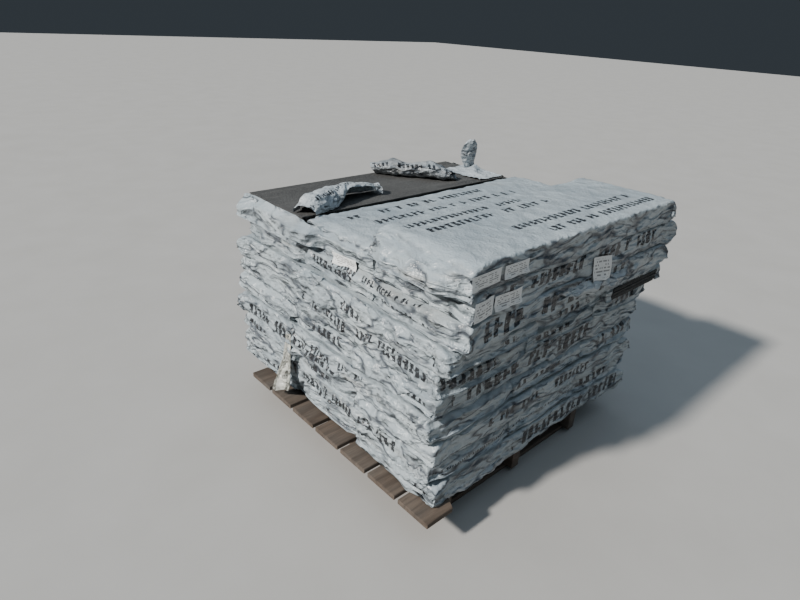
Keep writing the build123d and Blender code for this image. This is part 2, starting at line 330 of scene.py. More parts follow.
class Shader(Nodes):
    """Builds a node material with short calls."""

    def __init__(self, name):
        self.material = bpy.data.materials.new(name)
        super().__init__(self.material)

    def math(self, operation, *values):
        return self.node("Math", enumerate(values), operation=operation)[0]

    def product(self, a, b):
        return self.math("MULTIPLY", a, b)

    def away(self, value, middle):
        """How far a value is from a middle one."""
        return self.math("ABSOLUTE", self.math("SUBTRACT", value, middle))

    def between(self, value, low, high):
        """Maps value from the range low to high onto 0 to 1."""
        inputs = {"Value": value, "From Min": low, "From Max": high}
        return self.node("MapRange", inputs)[0]

    def blend(self, amount, first, second):
        """First, with an amount of second over it. Both are colours."""
        inputs = {"Factor": amount, 6: first, 7: second}
        return self.node("Mix", inputs, data_type="RGBA")[2]

    def value(self, name):
        """A named number of the mesh."""
        return self.node("Attribute", attribute_name=name)["Fac"]

    def uv(self, name):
        return self.node("UVMap", uv_map=name)["UV"]

    def here(self):
        return self.node("TexCoord")["Object"]

    def stretched(self, vector, scale, turn=(0, 0, 0)):
        """Places scaled and turned: what is drawn on them is long where the scale is small."""
        inputs = {"Vector": vector, "Scale": scale, "Rotation": turn}
        return self.node("Mapping", inputs)["Vector"]

    def bent(self, vector, scale, amount):
        """Places moved about, so that what is drawn on them doesn't run straight."""
        wander = self.node("TexNoise", {"Vector": vector, "Scale": scale, "Detail": 2.0})
        inputs = {0: wander["Color"], "Scale": amount}
        wander = self.node("VectorMath", inputs, operation="SCALE")[0]
        return self.node("VectorMath", {0: vector, 1: wander}, operation="ADD")[0]

    def grain(self, vector, scale, detail, roughness=0.55, distortion=0.0):
        """Soft noise, from 0 to 1."""
        inputs = {"Vector": vector, "Scale": scale, "Detail": detail, "Roughness": roughness}
        inputs["Distortion"] = distortion
        return self.node("TexNoise", inputs)[0]

    def creases(self, vector, scale, detail):
        """Sharp crests with hollows between them, from 0 to 1."""
        return self.between(self.away(self.grain(vector, scale, detail), 0.5), 0.16, 0.0)

    def cells(self, vector, scale):
        """Cells of one colour each, and the distance from their middles."""
        return self.node("TexVoronoi", {"Vector": vector, "Scale": scale})

    def random(self, x, y, seed):
        """A number from 0 to 1 for each pair of whole numbers."""
        place = self.node("CombineXYZ", {"X": x, "Y": y, "Z": seed})[0]
        inputs = {"Vector": place}
        return self.node("TexWhiteNoise", inputs, noise_dimensions="3D")["Value"]

    def finish(self, colour, roughness, reliefs=(), share=1.0):
        """Sets the looks. A relief is a height and how far a height of 1 stands out."""
        normal = None
        for height, distance in reliefs:
            inputs = {"Height": height, "Distance": distance * share, "Normal": normal}
            normal = self.node("Bump", inputs)["Normal"]
        sockets = self.tree.nodes["Principled BSDF"].inputs
        self.put(sockets["Base Color"], colour)
        self.put(sockets["Roughness"], roughness)
        self.put(sockets["Normal"], normal)
        return self.material


def print_mask(s):
    """Generic printed bars: 1 where there is ink. Reads the print map and the row's reach."""
    along, across, _ = s.split(s.uv("print"))
    reach = s.value("print_reach")
    index, inside = s.math("FLOOR", along), s.math("FRACT", along)

    def pick(seed):
        return s.random(index, 0, seed)

    upright = s.math("LESS_THAN", inside, s.math("MULTIPLY_ADD", pick(1.5), 0.30, 0.38))
    tall = s.math("LESS_THAN", reach, s.math("MULTIPLY_ADD", pick(2.5), 0.10, 0.40))
    level = s.math("SUBTRACT", s.product(pick(3.5), 0.8), 0.4)
    dash = s.math("LESS_THAN", s.away(across, level), 0.11)
    for value, limit in ((reach, 0.5), (inside, 0.82)):
        dash = s.product(dash, s.math("LESS_THAN", value, limit))
    ink = s.math("MAXIMUM", s.product(upright, tall), dash)
    return s.product(ink, s.math("GREATER_THAN", pick(4.5), 0.16))


def film_material(name, light, dark, crinkle=1.0, rough=0.34, marks=1.0):
    """Wrinkled polyethylene film, with printed bars where the mesh asks for them.

    Crinkle is the share of the small relief, and marks the share of stains and of the shade painted
    into creases. The mesh's hollow values add painted shade in its hollows.
    """
    s = Shader(name)
    here = s.here()
    patches = s.grain(here, 4.5, 4.0)
    dust = s.grain(here, 11.0, 5.0, 0.65)
    streaks = s.between(s.grain(s.stretched(here, (0.5, 0.5, 2.6)), 6.0, 5.0, 0.6), 0.60, 0.74)
    colour = s.blend(s.between(patches, 0.32, 0.68), dark, light)
    colour = s.blend(s.product(s.between(dust, 0.55, 0.8), 0.3), colour, DUST)
    colour = s.blend(s.product(streaks, 0.38 * marks), colour, STAIN)

    bent = s.bent(here, 7.0, 0.05)
    level = s.stretched(bent, (0.17, 0.17, 1.0), (0.16, -0.22, 0.0))
    long_way = s.stretched(bent, (0.32, 0.32, 1.0), (0.10, -0.14, 0.0))
    slanting = s.stretched(bent, (0.45, 0.45, 1.0), (0.65, -0.75, 0.0))
    across = s.stretched(bent, (0.6, 0.6, 1.0), (-0.5, 0.6, 0.0))
    folds = s.creases(long_way, 16.0, 1.5)
    dents, nicks, crumbs = (
        s.cells(way, scale)["Distance"]
        for way, scale in ((long_way, 26.0), (slanting, 48.0), (across, 90.0))
    )
    facing_up = s.split(s.node("NewGeometry")["Normal"])[2]
    upright = s.between(s.math("ABSOLUTE", facing_up), 0.92, 0.55)

    # Painted shade: the fold lines, the low middles of the dents and nicks, and thin crease lines
    # are darkened in patches, most on upright faces
    fold_shade = s.product(s.between(folds, 0.72, 0.95), s.between(patches, 0.34, 0.48))
    for mark, patchy_range, share in (
        (s.between(dents, 0.30, 0.08), (0.45, 0.56), 0.85),
        (s.between(nicks, 0.30, 0.08), (0.45, 0.56), 0.8),
        (s.between(s.creases(level, 30.0, 1.0), 0.78, 0.96), (0.44, 0.52), 0.8),
    ):
        mark = s.product(s.product(mark, s.between(dust, *patchy_range)), share)
        fold_shade = s.math("MAXIMUM", fold_shade, mark)
    share = s.math("MULTIPLY_ADD", upright, 0.90 * marks, 0.12 * marks)
    colour = s.blend(s.product(fold_shade, share), colour, CREASE_SHADE)
    # Painted shade from the mesh's hollow values
    colour = s.blend(s.product(s.value("hollow_shade"), 0.9), colour, HOLLOW_SHADE)
    wear = s.between(s.grain(here, 150.0, 3.0), 0.3, 0.42)
    colour = s.blend(s.product(print_mask(s), wear), colour, INK)

    relief = s.math("MULTIPLY_ADD", upright, 0.72, 0.28)
    slanted = s.creases(slanting, 24.0, 1.0)
    reliefs = [(s.product(height, relief), depth) for height, depth in (
        (folds, -0.0024), (dents, 0.016), (nicks, 0.0125), (crumbs, 0.0024), (slanted, 0.0030),
    )]
    reliefs += [(s.creases(here, 75.0, 1.0), 0.00070), (s.grain(here, 160.0, 2.0), 0.0006)]
    return s.finish(colour, s.math("MULTIPLY_ADD", dust, 0.24, rough - 0.1), reliefs, crinkle)


def shingle_material():
    """Asphalt with mineral granules, seen as a dark grey speckle."""
    s = Shader("shingle_granules")
    here = s.here()
    grains = s.cells(here, 620.0)
    speck = s.node("SeparateColor", {"Color": grains["Color"]})[0]
    patches = s.between(s.grain(here, 5.0, 4.0), 0.35, 0.65)
    streaks = s.between(s.grain(s.stretched(here, (1.2, 22.0, 1.0)), 1.6, 4.0), 0.5, 0.72)
    colour = s.blend(patches, (0.019, 0.020, 0.021, 1), (0.050, 0.051, 0.051, 1))
    for amount, tone in (
        (s.between(speck, 0.55, 1.0), (0.118, 0.117, 0.113, 1)),
        (s.between(speck, 0.3, 0.0), (0.02, 0.019, 0.018, 1)),
        (s.product(streaks, 0.45), (0.112, 0.110, 0.104, 1)),
    ):
        colour = s.blend(amount, colour, tone)
    return s.finish(colour, 0.88, [(grains["Distance"], 0.0009), (s.grain(here, 30.0, 4.0), 0.002)])


def wood_material(name, along_x):
    """Weathered sawn softwood, its grain along the board."""
    s = Shader(name)
    here = s.here()

    def lengthwise(share):
        return s.stretched(here, (share, 1.0, 1.0) if along_x else (1.0, share, 1.0))

    fibre = s.grain(lengthwise(0.09), 170.0, 4.0, 0.6)
    rings = s.grain(lengthwise(0.09), 26.0, 3.0, 0.5, 1.2)
    stain = s.grain(lengthwise(0.25), 7.0, 4.0, 0.6)
    age = s.between(rings, 0.35, 0.66)
    colour = s.blend(age, (0.052, 0.037, 0.027, 1), (0.118, 0.088, 0.066, 1))
    for amount, share, tone in (
        (s.between(stain, 0.4, 0.68), 0.75, (0.088, 0.079, 0.07, 1)),
        (s.between(fibre, 0.48, 0.7), 0.5, (0.045, 0.033, 0.024, 1)),
    ):
        colour = s.blend(s.product(amount, share), colour, tone)
    roughness = s.math("MULTIPLY_ADD", fibre, 0.2, 0.72)
    return s.finish(colour, roughness, [(fibre, 0.0016), (rings, 0.0022)])


def paper_material():
    """White label paper with generic dark bars."""
    s = Shader("label_paper")
    x, y, _ = s.split(s.uv("label"))
    line, word = s.product(y, LABEL_LINES), s.product(x, LABEL_WORDS)
    spread = s.random(s.math("FLOOR", word), s.math("FLOOR", line), 0.5)
    inked = s.math("GREATER_THAN", spread, 0.42)
    for value, most in ((s.math("FRACT", line), 0.24), (x, 0.41), (y, 0.41)):
        inked = s.product(inked, s.math("LESS_THAN", s.away(value, 0.5), most))
    tone = s.blend(s.grain(s.here(), 30.0, 4.0), (0.6, 0.62, 0.62, 1), (0.78, 0.79, 0.78, 1))
    colour = s.blend(s.product(inked, 0.72), tone, (0.08, 0.08, 0.085, 1))
    return s.finish(colour, 0.6, [(s.grain(s.here(), 120.0, 3.0), 0.0008)])


def floor_material():
    """Pale even ground."""
    s = Shader("pale_floor")
    tone = s.grain(s.here(), 3.0, 4.0)
    return s.finish(s.blend(tone, (0.33, 0.32, 0.305, 1), (0.39, 0.38, 0.365, 1)), 0.9)


WRAP = film_material("wrap_film", (0.375, 0.425, 0.450, 1), (0.275, 0.325, 0.358, 1))
TORN = film_material("torn_film", (0.48, 0.52, 0.54, 1), (0.34, 0.38, 0.41, 1), 1.2, 0.30)
ROLLED = film_material("rolled_film", (0.38, 0.41, 0.43, 1), (0.10, 0.115, 0.13, 1), 1.3, 0.30)
SHINGLE = shingle_material()
PALE = film_material("pale_film", (0.68, 0.68, 0.62, 1), (0.54, 0.54, 0.49, 1), 0.7, marks=0.35)
WOOD_X = wood_material("wood_along_x", True)
WOOD_Y = wood_material("wood_along_y", False)
PAPER = paper_material()


def spread_out(length, hidden):
    """Places along a straight run: even, or fine at its two ends and coarse between them."""
    if not hidden:
        return np.linspace(0, length, max(4, round(length / SIDE_STEP) + 1))
    fine = np.linspace(0, MARGIN, 6)
    middle = np.linspace(MARGIN, length - MARGIN, 6)[1:-1]
    return np.concatenate([fine, middle, length - fine[::-1]])


def section(width, height, top, sides):
    """Points round a bundle's section, from the middle of its underside towards +b, as b and c."""
    r = EDGE_RADIUS
    low, wide = spread_out(width - 2 * r, True), spread_out(width - 2 * r, not top)
    counts = [RISE_POINTS if seen else HIDDEN_RISE_POINTS for seen in sides]
    rise = [np.linspace(0, height - 2 * r, count) for count in counts]
    turn = np.linspace(0, math.pi / 2, EDGE_POINTS + 2)[1:-1]
    half, split = width / 2, len(low) // 2

    def corner(b, c, start):
        return b + r * np.cos(start + turn), c + r * np.sin(start + turn)

    runs = [
        (-half + r + low[split:], 0 * low[split:]),
        corner(half - r, r, -math.pi / 2),
        (half + 0 * rise[1], r + rise[1]),
        corner(half - r, height - r, 0),
        (half - r - wide, height + 0 * wide),
        corner(-half + r, height - r, math.pi / 2),
        (-half + 0 * rise[0], height - r - rise[0]),
        corner(-half + r, r, math.pi),
        (-half + r + low[:split], 0 * low[:split]),
    ]
    return np.concatenate([b for b, _ in runs]), np.concatenate([c for _, c in runs])


def profile(length, fine, shares, drops):
    """Stations along a bundle: place, share of the full thickness, and distance along the film.

    The film runs flat over the shingles, rounds off past them to a share of the thickness, one for
    each end, and closes in a seam. A drop is the share lost before the end of the shingles.
    """
    half = length / 2
    t = np.linspace(0, 1, CLOSING_POINTS)[1:]
    end_a = np.concatenate([
        SHOULDER + (half - SHOULDER) * t,
        half + 0.003 * np.sin(math.pi * t),
        half + SEAM_FIN * np.array([0.4, 0.75, 1.0]),
    ])
    first, last = (
        np.concatenate([
            1 - drop - (1 - drop - share) * t**1.6,
            share * (1 - t) + 0.08 * t,
            [0.05, 0.04, 0.03],
        ])
        for share, drop in zip(shares, drops)
    )
    dense = np.arange(SHOULDER, SHOULDER - 0.05, -0.006)[::-1]
    inward = ((dense - dense[0]) / (SHOULDER - dense[0])) ** 2
    step = SIDE_STEP if fine else HIDDEN_STEP
    middle = np.linspace(-dense[0], dense[0], round(2 * dense[0] / step))[1:-1]
    a = np.concatenate([-end_a[::-1], -dense[::-1], middle, dense, end_a])
    h = np.concatenate([
        first[::-1], 1 - drops[0] * inward[::-1], 0 * middle + 1, 1 - drops[1] * inward, last,
    ])
    film = run_length(np.hypot(np.diff(a), 0.04 * np.diff(h)))
    return a, h, film - film[-1] / 2


def unit(vectors):
    """The same directions with a length of 1."""
    return vectors / np.maximum(np.linalg.norm(vectors, axis=-1, keepdims=True), 1e-9)


def facing(points):
    """The outward direction at each point of a closed tube of points."""
    around = np.roll(points, -1, 1) - np.roll(points, 1, 1)
    return unit(np.cross(around, np.gradient(points, axis=0)))


def folded(place, run, folds, lead):
    """The main folds, as in the solids: 0 on a ridge and 1 in a furrow."""
    t = np.clip((place + run / 2) * 2 * folds / run, 0, 2 * folds)
    return 1 - np.abs((t + lead) % 2 - 1)


def long_folds(u, v, seed, lean, length=0.13, spacing=0.021):
    """Long slanting folds, about spacing apart."""
    wander = 0.012 * noise(u / 0.09, v / 0.05, seed) + 0.004 * noise(u / 0.03, v / 0.02, seed + 1)
    return ridged(u / length, (v - lean * u + wander) / spacing, seed + 2)


def side_wrinkles(u, v, seed, lean, end, near_corner):
    """Folds along a long side: two runs that cross, and steep ones near the corners."""
    first = long_folds(u, v, seed + 40, 0.12 + lean[0])
    second = long_folds(u, v, seed + 50, -0.55 + lean[1], 0.09, 0.026)
    steep = long_folds(u, v, seed + 60, 1.6 * end, 0.05, 0.030)
    share = ramp(layered(u / 0.17, v / 0.09, seed + 70, 2), -0.12, 0.2)
    folds = first * (1 - share) + second * share
    return folds * (1 - 0.6 * near_corner) + 0.9 * steep * near_corner


def end_wrinkles(p, q, seed, lean, side, near_corner):
    """Plies across an end, and steep folds near its corners."""
    plies = long_folds(p, q, seed + 16, 0.15 + lean[0], 0.10, 0.017)
    steep = long_folds(p, q, seed + 84, -0.8 * side, 0.06, 0.026)
    return plies * (1 - 0.7 * near_corner) + 0.8 * steep * near_corner


def wrapped_skin(size, seed, lead, top, sides, flare, ends=None, wrinkled=()):
    """The film of one bundle about its own middle.

    Gives its points, the plain form without wrinkles, the outward directions of that, and how
    much painted shade each point takes: deep in a furrow and near the underside. Wrinkled gives
    faces that are wrinkled more or less than the others, with their share.
    """
    length, width, height = size
    half, half_width = length / 2, width / 2
    rng = np.random.default_rng(seed)
    b, c = section(width, height, top, sides)
    girth = run_length(np.hypot(np.diff(b), np.diff(c)))
    usual = [(*pair, 0.0, 0.008) for pair in rng.uniform((0.45, 0.3), (0.68, 0.44), (2, 2))]
    shares, seams, drops, rounding = np.array(ends or usual).T
    a, thick, film = (run[:, None] for run in profile(length, top or any(sides), shares, drops))

    # The plain form, which closes towards its ends and has the main folds
    end = by_sign(a, (-1.0, 1.0))
    share, seam, drop, rounded = (by_sign(a, pair) for pair in (shares, seams, drops, rounding))
    level = height / 2 + height * (seam - 0.5) * ramp(thick, share + 0.25, 0.1)
    level = np.where(drop > 0, height * thick / 2 + 0.004 * (1 - thick), level)
    cc = level + (c - height / 2) * thick
    at_end = ramp(np.abs(a), SHOULDER, half)
    inset = SIDE_FOLD_DEPTH * folded(a, length - 2 * CORNER_CUT, SIDE_FOLDS, lead)
    shift = END_FOLD_DEPTH * folded(b, width - 2 * CORNER_CUT, END_FOLDS, lead)
    aa = a - end * at_end * (shift + rounded * near_end(b, half_width, 0.09))
    wide = by_sign(b, flare) * ramp(np.abs(a), SHOULDER - 0.05, half) - inset * (1 - at_end)
    bb = b * (1 + wide / half_width * near_end(b, half_width, 0.045))
    plain = stacked(aa, bb, cc)
    out = facing(plain)
    nx, ny, nz = np.moveaxis(out, -1, 0)

    # Wrinkles square to it: on the sides, the ends and the top
    u, v = film + seed * 3.7, girth + seed * 1.3
    seen = by_sign(b, sides)
    on_side, on_end = np.abs(ny) * (0.3 + 0.7 * seen), np.abs(nx)
    upward = np.clip(nz, 0, 1)
    lean = rng.uniform(-0.25, 0.25, 2)
    large = crumple(u / 0.075, v / 0.04, seed + 12) - MIDDLING
    small = crumple(u / 0.026, v / 0.019, seed + 14) - MIDDLING
    strength = 0.55 + 0.9 * ramp(layered(u / 0.21, v / 0.11, seed + 20, 2), -0.3, 0.4)
    folds = side_wrinkles(u, v, seed, lean, end, near_end(a, half, 0.22, 0.04))
    push = on_side * strength * (0.0056 * folds + 0.0062 * large + 0.0014 * small)
    p, q = bb + 7 * end + seed * 2.1, cc + 0 * bb
    plies = end_wrinkles(p, q, seed, lean, np.sign(b), near_end(b, half_width, 0.15, 0.02))
    end_facets = crumple(p / 0.07, q / 0.034, seed + 18) - MIDDLING
    push = push + on_end * strength * (0.0050 * plies + 0.0070 * end_facets)
    ripple = layered(u / 0.12, v / 0.05, seed + 22, 3)
    streaks = ridged(u / 0.10 + 0.3 * ripple, v / 0.013 + 0.4 * ripple, seed + 90)
    push = push + upward * float(top) * (0.0016 * ripple + 0.0010 * large + 0.0006 * streaks)
    faces = {"-b": on_side * (b < 0), "+b": on_side * (b > 0), "-a": on_end * (a < 0)}
    for face, part in wrinkled:
        push = push * (1 + (part - 1) * faces[face])
    upright = np.clip(on_side + on_end, 0, 1)
    # Painted shade: darker deep in the furrows, and darker towards the underside where the bundle
    # rests on the one below
    hollow_shade = ramp(push / (0.0045 * (on_side + on_end) + 0.004), -0.1, -0.85) * upright
    hollow_shade = np.maximum(hollow_shade, 0.55 * ramp(cc, 0.2 * height, 0.02 * height) * upright)

    # Weight: the sides bulge, the rims sag and loose film hangs over the bundle below
    belly = on_side * seen * (0.0035 + 0.004 * noise(u / 0.3, seed, seed + 24))
    at_rim = near_end(b, half_width, 0.05, 0.008)
    uneven = (0.4 if drops.any() else 1.4) * noise(u / 0.15, np.sign(b), seed + 26)
    sag = 0.004 * at_rim * upward * (1 + uneven)
    loose = ramp(layered(u / 0.23 + v / 0.9, 0.37 * end, seed + 28, 2), -0.2, 0.35)
    low = ramp(cc, height * 0.36, 0) * np.clip(on_side * seen + on_end, 0, 1)
    moved = plain + out * (push + belly + 0.005 * low * loose)[..., None]
    moved[..., 2] -= sag + 0.013 * low * loose

    # The seam across each end is wavy
    fin = ramp(np.abs(a), half + 0.001, half + SEAM_FIN) + 0 * b
    moved[..., 2] += fin * (0.008 * noise(b / 0.07, end * 3.1, seed + 30) - 0.010)
    moved[..., 0] += end * fin * 0.005 * noise(b / 0.05, end * 5.3, seed + 32)
    return moved, plain, out, hollow_shade


def row_marks(plain, out, rows, seed):
    """Printed rows: for each point its place along a row, in bar spacings, and its share across.

    A row is a face, the level of its middle, its height, and where it starts and stops. On the
    top the level is a place across the bundle, and elsewhere it is a height.
    """
    a, b, c = np.moveaxis(plain, -1, 0)
    nx, ny, nz = np.moveaxis(out, -1, 0)
    faces = {
        "-b": (-ny, a, c), "+b": (ny, a, c), "-a": (-nx, b, c), "+a": (nx, b, c), "top": (nz, a, b),
    }
    along, across, reach = 0 * a, 0 * a + NO_PRINT, 0 * a + NO_PRINT
    for number, (face, level, height, start, stop) in enumerate(rows):
        towards, place, other = faces[face]
        q = (other - level) / height
        here = (towards > 0.55) & (np.abs(q) < 1.0) & (place > start) & (place < stop)
        shift = 50.0 * (seed + 1) + 400.0 * number
        along = np.where(here, place / (BAR_SPACING * height) + shift, along)
        across = np.where(here, q, across)
        reach = np.where(here, np.abs(q), reach)
    return stacked(along, across), reach


def usual_rows(seed, height, length, width, sides):
    """The rows on a bundle that the photograph doesn't single out."""
    rng = np.random.default_rng(seed + 500)
    rows = []
    faces = ("-b", sides[0], length), ("+b", sides[1], length), ("-a", 1, width), ("+a", 1, width)
    for face, seen, far in faces:
        if not seen or rng.random() < 0.15:
            continue
        tall = rng.uniform(0.034, 0.056)
        level = height * rng.uniform(0.38, 0.62)
        start = rng.uniform(-0.5, -0.1) * far
        rows.append((face, level, tall, start, start + rng.uniform(0.35, 0.8) * far))
    return rows


def make_bundle(name, low, high, seed, lead, top, sides, flare, rows, ends):
    """One wrapped bundle where the CAD solid is."""
    size = high - low
    turned = size[1] > size[0]
    length, width = (size[1], size[0]) if turned else (size[0], size[1])
    if rows is None:
        rows = usual_rows(seed, size[2], length, width, sides)
    calm = CALM_TOP if name.startswith("wrap_10") else CALM
    wrinkled = [("-a", calm), ("+b", LIVELY_SIDE)] if turned else [("-b", calm), ("-a", LIVELY_END)]
    points, plain, out, hollow_shade = wrapped_skin(
        (length, width, size[2]), seed, lead, top, sides, flare, ends, wrinkled,
    )
    marks, reach = row_marks(plain, out, rows, seed)
    if turned:
        points = stacked(-points[..., 1], points[..., 0], points[..., 2])
    middle = (low + high) / 2
    middle[2] = low[2]
    points = points + middle
    count, columns = points.shape[:2]
    faces = grid_faces(count, columns, closed=True)
    total, last = count * columns, (count - 1) * columns
    for index in range(columns):
        after = (index + 1) % columns
        faces.append([after, index, total])
        faces.append([last + index, last + after, total + 1])
    caps = points[[0, -1]].mean(1)
    piece = new_piece(name, np.concatenate([points.reshape(-1, 3), caps]), faces, WRAP)
    marks = np.concatenate([marks.reshape(-1, 2), marks[[0, -1], 0]])
    reach = np.append(reach, [NO_PRINT, NO_PRINT])
    set_film(piece, marks, reach, np.append(hollow_shade, [0.0, 0.0]))
    return piece


def make_wraps():
    """Every wrapped bundle, layer by layer."""
    for layer in range(1, 11):
        node = f"bundle_layer_{layer:02d}"
        boxes = solid_boxes(node)
        size = boxes[0][1] - boxes[0][0]
        turned = size[1] > size[0]
        across = 0 if turned else 1
        boxes.sort(key=lambda box: box[0][across])
        for index, (low, high) in enumerate(boxes):
            first, last = index == 0, index == len(boxes) - 1
            sides = (first, last or layer == 9)
            before = OUTER_GAP if first else low[across] - boxes[index - 1][1][across]
            after = OUTER_GAP if last else boxes[index + 1][0][across] - high[across]
            flare = [min(MOST_FLARE, gap / 2) for gap in (before, after)]
            if turned:
                sides, flare = sides[::-1], flare[::-1]
            piece = make_bundle(
                f"wrap_{layer:02d}_{index + 1}", low, high, 10 * layer + index,
                (layer + index + 1) % 2, layer >= 9, sides, flare,
                PRINTED.get((layer, index)), ENDS.get((layer, index)),
            )
            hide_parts(node)


# Ends that differ from the usual, for each end: the share of the thickness and the level of the
# seam there, the share that is lost before the end, and how far its corners are rounded
ENDS = {
    (10, 0): ((0.24, 0.10, 0.30, 0.026), (0.60, 0.35, 0.0, 0.010)),
    (9, 0): ((0.50, 0.20, 0.0, 0.008), (0.55, 0.35, 0.0, 0.008)),
    (9, 1): ((0.80, 0.16, 0.0, 0.0), (0.55, 0.35, 0.0, 0.008)),
}

# Printed rows that the photograph shows, in the form that row_marks reads
PRINTED = {
    (10, 0): [
        ("top", 0.118, 0.030, -0.45, 0.05), ("top", 0.062, 0.034, -0.42, 0.14),
        ("top", -0.055, 0.034, -0.2, 0.42), ("top", -0.118, 0.034, -0.12, 0.46),
    ],
    (9, 0): [("-b", 0.050, 0.046, -0.42, 0.40), ("+a", 0.04, 0.03, -0.15, 0.15)],
    (9, 1): [("top", 0.10, 0.036, -0.46, 0.2), ("top", 0.02, 0.036, -0.4, 0.3)],
    (8, 0): [("-b", 0.042, 0.058, -0.46, 0.24), ("-a", 0.03, 0.024, -0.12, 0.14)],
    (5, 0): [("-b", 0.043, 0.056, -0.47, 0.25), ("-a", 0.04, 0.03, -0.15, 0.1)],
    (2, 0): [("+b", 0.045, 0.040, -0.40, 0.25), ("-a", 0.04, 0.014, -0.16, 0.17)],
    (2, 1): [("-a", 0.04, 0.014, -0.16, 0.17)],
    (1, 0): [("-b", 0.044, 0.052, -0.17, 0.50), ("-a", 0.035, 0.03, -0.16, 0.0)],
}


def make_camera():
    """The photograph's own camera."""
    forward = Vector((
        math.sin(CAMERA_YAW) * math.cos(CAMERA_PITCH),
        math.cos(CAMERA_YAW) * math.cos(CAMERA_PITCH),
        -math.sin(CAMERA_PITCH),
    ))
    level = Vector((math.cos(CAMERA_YAW), -math.sin(CAMERA_YAW), 0))
    upright = level.cross(forward)
    right = math.cos(CAMERA_ROLL) * level + math.sin(CAMERA_ROLL) * upright
    up = -math.sin(CAMERA_ROLL) * level + math.cos(CAMERA_ROLL) * upright
    camera = placed("camera", bpy.data.cameras.new("camera"))
    camera.data.lens = CAMERA_LENS_MM
    turn = Matrix((right, up, -forward)).transposed().to_4x4()
    camera.matrix_world = Matrix.Translation(CAMERA_PLACE) @ turn
    bpy.context.scene.camera = camera


def make_light():
    """A pale sky and the sun that is the key light."""
    world = bpy.data.worlds.new("studio")
    sky = Nodes(world)
    height = sky.split(sky.node("TexCoord")["Generated"])[2]
    background = sky.tree.nodes["Background"].inputs
    sky.put(background["Color"], SKY_COLOUR)
    strength = sky.node("MapRange", {"Value": height, **SKY_RANGE})
    sky.put(background["Strength"], strength[0])
    bpy.context.scene.world = world
    key = placed("key", bpy.data.lights.new("key", "SUN"))
    key.data.energy, key.data.angle, key.data.color = KEY_POWER, KEY_ANGLE, KEY_COLOUR
    key.rotation_mode = "QUATERNION"
    key.rotation_quaternion = Vector(KEY_DIRECTION).to_track_quat("Z", "Y")


def make_floor():
    """Level ground under the load."""
    mesh, far = bpy.data.meshes.new("floor"), FLOOR_REACH
    corners = [(-far, -far, 0), (far, -far, 0), (far, far, 0), (-far, far, 0)]
    mesh.from_pydata(corners, [], [(0, 1, 2, 3)])
    mesh.materials.append(floor_material())
    placed("floor", mesh)


def facing_sheet(points):
    """The direction square to a grid of points."""
    return unit(np.cross(np.gradient(points, axis=0), np.gradient(points, axis=1)))


def grid_run(points, axis):
    """How far along one way of a grid its points lie, on the average of the other way."""
    return run_length(np.linalg.norm(np.diff(points, axis=axis), axis=-1).mean(1 - axis))


def crumpled(points, seed, big, small, cell):
    """A grid of points, crumpled square to itself into facets about a cell wide."""
    u, v = grid_run(points, 0)[:, None] + seed, grid_run(points, 1)[None, :]
    push = big * (crumple(u / cell, v / cell, seed) - 0.4) * 2
    push = push + small * (crumple(u / 0.013, v / 0.013, seed + 7) - 0.4) * 2
    push = push + 0.4 * big * long_folds(u, v, seed + 9, 0.4, 0.07, 0.024)
    return points + facing_sheet(points) * push[..., None]


def film_sheet(name, points, material, replaces=None, row=None):
    """A free sheet of film from a grid of points.

    Replaces is the CAD node that it stands for. A row of print is its middle and height along the
    grid's second way, as shares of it.
    """
    count, columns = points.shape[:2]
    piece = new_piece(name, points, grid_faces(count, columns), material)
    u, v = grid_run(points, 0), grid_run(points, 1)
    across, height = np.full(columns, NO_PRINT), 0.05
    if row:
        across, height = (v / v[-1] - row[0]) / row[1], row[1] * v[-1]
    marks = stacked(u[:, None] / (BAR_SPACING * height) + 3000, across)
    # Painted shade where the sheet bends sharply, but not along its last column
    bend = np.abs(np.diff(facing_sheet(points), axis=1, append=0)).sum(-1)
    hollow_shade = 0.5 * ramp(bend, 0.35, 1.1) * (np.arange(columns) < columns - 1)
    set_film(piece, marks, np.abs(marks[..., 1]), hollow_shade)
    declare(piece, float(v[-1]), float(u[-1]))
    if replaces:
        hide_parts(replaces)


def declare(piece, width, length):
    """Works out a piece's flat size, made larger where the modelled film has more area; the result
    is not used.
    """
    area = sum(face.area for face in piece.data.polygons)
    grown = max(1.0, math.sqrt(area / (width * length)))
    width, length = width * grown, length * grown
    area = min(area, width * length)


def rim(rows, columns):
    """The points round the edge of a grid, as an index into it."""
    spots = [(i, 0) for i in range(rows)] + [(rows - 1, j) for j in range(1, columns)]
    spots += [(i, columns - 1) for i in range(rows - 2, -1, -1)]
    spots += [(0, j) for j in range(columns - 2, 0, -1)]
    return tuple(np.transpose(spots))


def with_teeth(under, half_width):
    """Which points of a sheet's underside have the toothed layer under them."""
    band = under[:, 1] < TOOTH_BAND - half_width
    for centre, width in CUT_OUTS:
        in_width = np.abs(under[:, 0] - centre) < width / 2
        band &= ~(in_width & (under[:, 1] < CUT_OUT_DEPTH - half_width))
    return band


